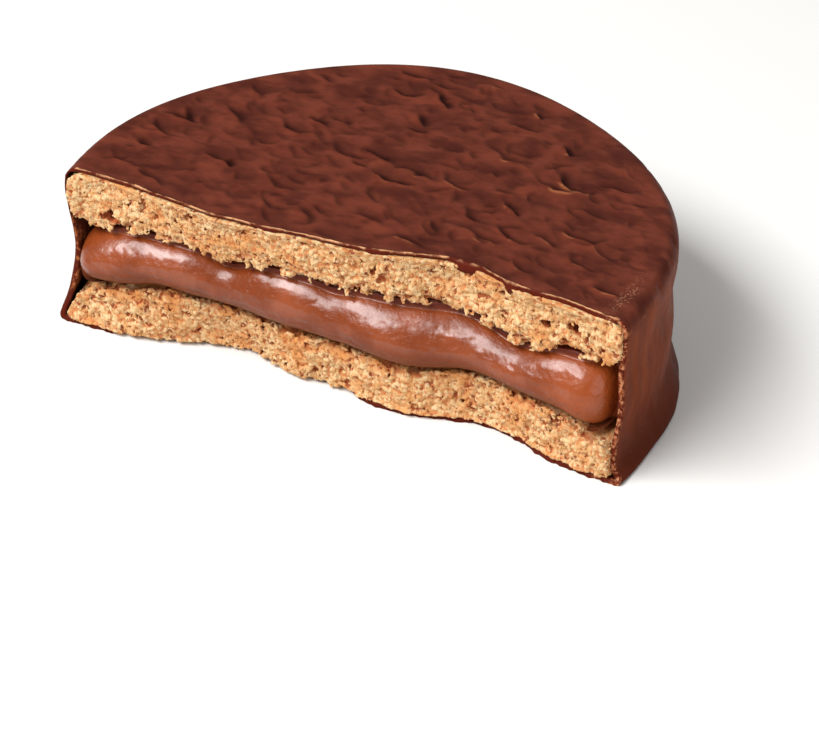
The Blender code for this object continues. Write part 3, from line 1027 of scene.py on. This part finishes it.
def roll_front(x, z):
    """Where the roll's face lies."""
    low, high = lower_face(x) + ROLL_GAP, upper_face(x) - ROLL_GAP
    share = min(1.0, max(0.0, (z - low) / (high - low)))
    filled = min(1.0, share / 0.9)
    fullness = math.sin(math.pi * filled ** 0.88) ** 0.72 if 0 < filled < 1 else 0.0
    end = (ROLL_RIGHT if x > 0 else ROLL_LEFT) - drawn_in(share)
    past = min(1.0, max(0.0, abs(x) - (end - ROLL_END_ROUND)) / ROLL_END_ROUND)
    ends = math.sqrt(1 - past ** 2)
    slow = noise.noise(Vector((x, z, 31 * MM)) / (9 * MM))
    back = 0.9 * MM * (1 - fullness) + 2.4 * MM * (1 - ends)
    along, across = x + 0.6 * z, z - 0.35 * x
    wrinkle = noise.noise(Vector((x / 2.2, z / 0.8, 12 * MM)) / MM)
    dimple = noise.noise(Vector((x / 1.1, z / 0.9, 52 * MM)) / MM)
    pucker = noise.noise(Vector((along / 0.9, across / 0.42, 72 * MM)) / MM)
    crinkle = noise.noise(Vector((along / 0.34, across / 0.26, 92 * MM)) / MM)
    skin = (0.09 * wrinkle + 0.06 * dimple + 0.055 * pucker + 0.03 * crinkle) * MM * fullness
    return cut_y(x, z) + back - (1.7 * MM + 0.5 * MM * slow) * fullness * ends + skin


def build_caramel():
    levels = [0.5 - 0.5 * math.cos(math.pi * step / ROLL_LEVELS) for step in range(ROLL_LEVELS + 1)]
    faces, walls = [], []

    def height(share):
        return lambda x: (lower_face(x) + ROLL_GAP) * (1 - share) + (upper_face(x) - ROLL_GAP) * share

    for share in levels:
        level = height(share)
        row = arc_row(0.9 * MM + drawn_in(share), level(0.0), roll_front, ROLL_COLUMNS)
        for p in row:
            p.z = level(p.x)
        for end in (row[0], row[-1]):
            end.y = roll_front(end.x, end.z)
        walls.append(row)
    face = [chord_row(row, roll_front, height(share)) for share, row in zip(levels, walls)]
    lower, upper = (rows_between(face[i], walls[i], (0, 0.1, 0.3, 0.65, 1)) for i in (0, -1))
    faces += sheet_faces(lower) + sheet_faces(upper, flip=True)
    faces += sheet_faces(walls) + sheet_faces(face, flip=True)
    return make_piece("caramel_roll", faces)


def mark_caramel(mesh):
    """Stores how high up the roll each point lies, 0 at the lower biscuit and 1 at the upper one."""
    x, y, z = places_of(mesh)
    low, high = (np.array([face(a) for a in x]) for face in (lower_face, upper_face))
    store(mesh, "share", (z - low) / (high - low))


caramel = build_caramel()
mark_caramel(caramel.data)

# %% Caramel
def caramel_material():
    material, tree, shader = new_material("milk_caramel")
    place = add(tree, "ShaderNodeTexCoord", None, None, "Object")
    x = split(tree, place)[0]
    cloud = noise_at(tree, place, 240, 2, 0.5)
    fine = noise_at(tree, stretched(tree, place, 0, (0.8, 1, 1)), 1700, 4, 0.62)
    skin = noise_at(tree, stretched(tree, place, 0, (0.8, 1, 1)), 2600, 3, 0.6)
    share = attribute(tree, "share")
    plain = mix(cloud.step(0.35, 0.65), (114, 50, 19), (134, 62, 27))
    shaded = mix((1 - share.step(0.1, 0.65)) * 0.7, plain, (98, 41, 12))
    # Painted light: the right end is painted lighter and more orange, as light glowing through the caramel.
    painted_end_glow = mix(x.step(20.0, 29.0) * 0.7, shaded, (150, 70, 29))
    # Painted shade: the top of the roll, in the recess under the upper biscuit, is painted darkest.
    under = mix(share.step(0.84, 0.93), painted_end_glow, (92, 34, 18))
    feed(shader, Base_Color=under)
    shine = share.step(0.3, 0.5) * (1 - share.step(0.84, 0.91))
    feed(shader, Roughness=0.36 - 0.18 * shine + 0.10 * fine.step(0.35, 0.7))
    feed(shader, Normal=bumps(tree, fine * 0.55 + skin * 0.45, 0.00022, 0.8))
    feed(shader, Coat_Weight=shine * (0.45 + 0.4 * cloud.step(0.4, 0.6)))
    feed(shader, Coat_Roughness=0.2, Specular_IOR_Level=0.18)
    return material


caramel.data.materials.append(caramel_material())
print("caramel:", len(caramel.active_material.node_tree.nodes), "nodes")

# %% [markdown]
# ## Loose grains
#
# Single grains cling to the broken faces and to the chocolate beside them. They repeat by the thousand, so a
# second tree scatters them: it spreads points over the front of the crumb, and puts a small uneven twenty-
# sided grain on each, turned and stretched at random from a fixed seed.

# %% Geometry Nodes tree of the grains
def grain_tree():
    inputs = {
        "Crumb": "Geometry",
        "Grains per square metre": "Float",
        "Smallest radius": "Float",
        "Largest radius": "Float",
        "Seed": "Int",
        "Material": "Material",
    }
    tree, given = start_tree("LooseGrains", inputs, "Grains")
    x, y, z = split(tree, add(tree, "GeometryNodeInputPosition"))
    facing = add(tree, "ShaderNodeSeparateXYZ", None, {0: add(tree, "GeometryNodeInputNormal")}, 1)
    pit = add(tree, "GeometryNodeInputNamedAttribute", {"data_type": "FLOAT"}, {"Name": "pit"})
    open_face = (1 - behind_cut(x, y, z).step(0.5, 0.9)) * (1 - pit.step(0.5, 0.7))
    towards_cut = 1 - facing.step(-0.1, 0.2)
    inner = z.step(0.5, 0.8) * (1 - z.step(18.3, 18.6))
    spread = {
        "Mesh": given["Crumb"],
        "Density": given["Grains per square metre"] * open_face * towards_cut * inner,
        "Seed": given["Seed"],
    }
    points = add(tree, "GeometryNodeDistributePointsOnFaces", None, spread)
    grain = add(tree, "GeometryNodeMeshIcoSphere", None, {"Radius": 1.0, "Subdivisions": 1})

    def draw(kind, low, high):
        span = {"Min": low, "Max": high, "Seed": given["Seed"]}
        return add(tree, "FunctionNodeRandomValue", {"data_type": kind}, span, "Value")

    radius = draw("FLOAT", given["Smallest radius"], given["Largest radius"])
    shape = draw("FLOAT_VECTOR", (0.6, 0.6, 0.6), (1.4, 1.2, 1.2))
    turn = draw("FLOAT_VECTOR", (0.0, 0.0, 0.0), (6.28, 6.28, 6.28))
    size = add(tree, "ShaderNodeVectorMath", {"operation": "SCALE"}, {0: shape, "Scale": radius})
    placed = {"Points": points, "Instance": grain, "Rotation": turn, "Scale": size}
    instances = add(tree, "GeometryNodeInstanceOnPoints", None, placed)
    end_tree(tree, instances, given["Material"])
    return tree


GRAIN_FACES = 20
grain_nodes = grain_tree()
grain_values = {
    "Grains per square metre": 6e6,
    "Smallest radius": 0.06 * MM,
    "Largest radius": 0.17 * MM,
    "Seed": 3,
    "Material": crumb_finish,
}
grains = []
for piece in (lower_crumb, upper_crumb):
    copy = put(piece.name + "_copy", piece.data.copy())
    grains.append(run_tree(copy, grain_nodes, grain_values, piece.name.replace("crumb", "grains")))
    print(grains[-1].name, "has", len(grains[-1].data.polygons) // GRAIN_FACES, "grains")

# %% [markdown]
# ## Putting the pieces on the solids
#
# Every piece moves with the half's one body and stands in for its solid.

# %% Ride, replace
for piece, node, finish in (
    (coat, "coating", "chocolate"),
    (upper_crumb, "upper_biscuit", "biscuit"),
    (lower_crumb, "lower_biscuit", "biscuit"),
    (caramel, "filling", "filling"),
):
    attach(piece, "root")
    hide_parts(node)
for piece in grains:
    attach(piece, "root")
print("pieces:", [piece.name for piece in (coat, *crumbs, caramel, *grains)])

# %% [markdown]
# ## Floor, light and camera
#
# The half stands on a plain pale floor. One wide soft light hangs to the left in front, so the caramel's
# bulge catches it along its upper side, and two weaker ones fill the sides. The camera looks down at 34
# degrees through a long lens, as the photographer's did.

# %% Floor
FLOOR_HALF = 3.0
corners = [(x * FLOOR_HALF, y * FLOOR_HALF, 0) for x, y in ((-1, -1), (1, -1), (1, 1), (-1, 1))]
mesh = bpy.data.meshes.new("floor")
mesh.from_pydata(corners, [], [(0, 1, 2, 3)])
material, _, shader = new_material("pale_floor")
feed(shader, Base_Color=(0.8, 0.79, 0.77, 1), Roughness=0.9, Specular_IOR_Level=0.0)
mesh.materials.append(material)
floor = put("floor", mesh)
print("floor:", floor.name)

# %% Light
world = bpy.data.worlds.new("studio")
world.use_nodes = True
world.node_tree.nodes["Background"].inputs["Color"].default_value = (1.0, 0.99, 0.97, 1)
world.node_tree.nodes["Background"].inputs["Strength"].default_value = 0.28
bpy.context.scene.world = world
TARGET = Vector((0, 8, 8)) * MM


def softbox(name, direction, distance, width, height, watts):
    """A light panel that hangs in this direction from the half and faces it."""
    light = bpy.data.lights.new(name, "AREA")
    light.shape = "RECTANGLE"
    light.size, light.size_y = width, height
    light.energy = watts
    lamp = put(name, light)
    lamp.location = TARGET + Vector(direction).normalized() * distance
    lamp.rotation_euler = (lamp.location - TARGET).to_track_quat("Z", "Y").to_euler()
    print(name, "light of", watts, "W")


softbox("key", (-0.37, -0.55, 0.76), 0.6, 0.5, 0.22, 5.5)
softbox("fill", (0.8, -0.5, 0.5), 0.8, 0.5, 0.5, 1.5)
softbox("back", (0.1, 0.8, 0.7), 0.8, 0.4, 0.4, 0.6)
scene = bpy.context.scene
scene.view_settings.view_transform = "Standard"
scene.view_settings.look = "None"

# %% Camera
CAMERA_PLACE = Vector((118.158, -237.268, 179.043)) * MM
SENSOR_WIDTH = 36
FOCAL_PIXELS, PHOTO_PIXELS = 3000, 819
right = Vector((0.89684, 0.44179, 0.02243))
up = Vector((-0.26387, 0.49359, 0.82870))
lens = bpy.data.cameras.new("photo")
lens.lens = FOCAL_PIXELS / PHOTO_PIXELS * SENSOR_WIDTH
lens.sensor_width = SENSOR_WIDTH
camera = put("photo", lens)
turn = Matrix((right, up, right.cross(up))).transposed().to_4x4()
camera.matrix_world = Matrix.Translation(CAMERA_PLACE) @ turn
scene.camera = camera
print("camera with a lens of %.0f mm" % lens.lens)
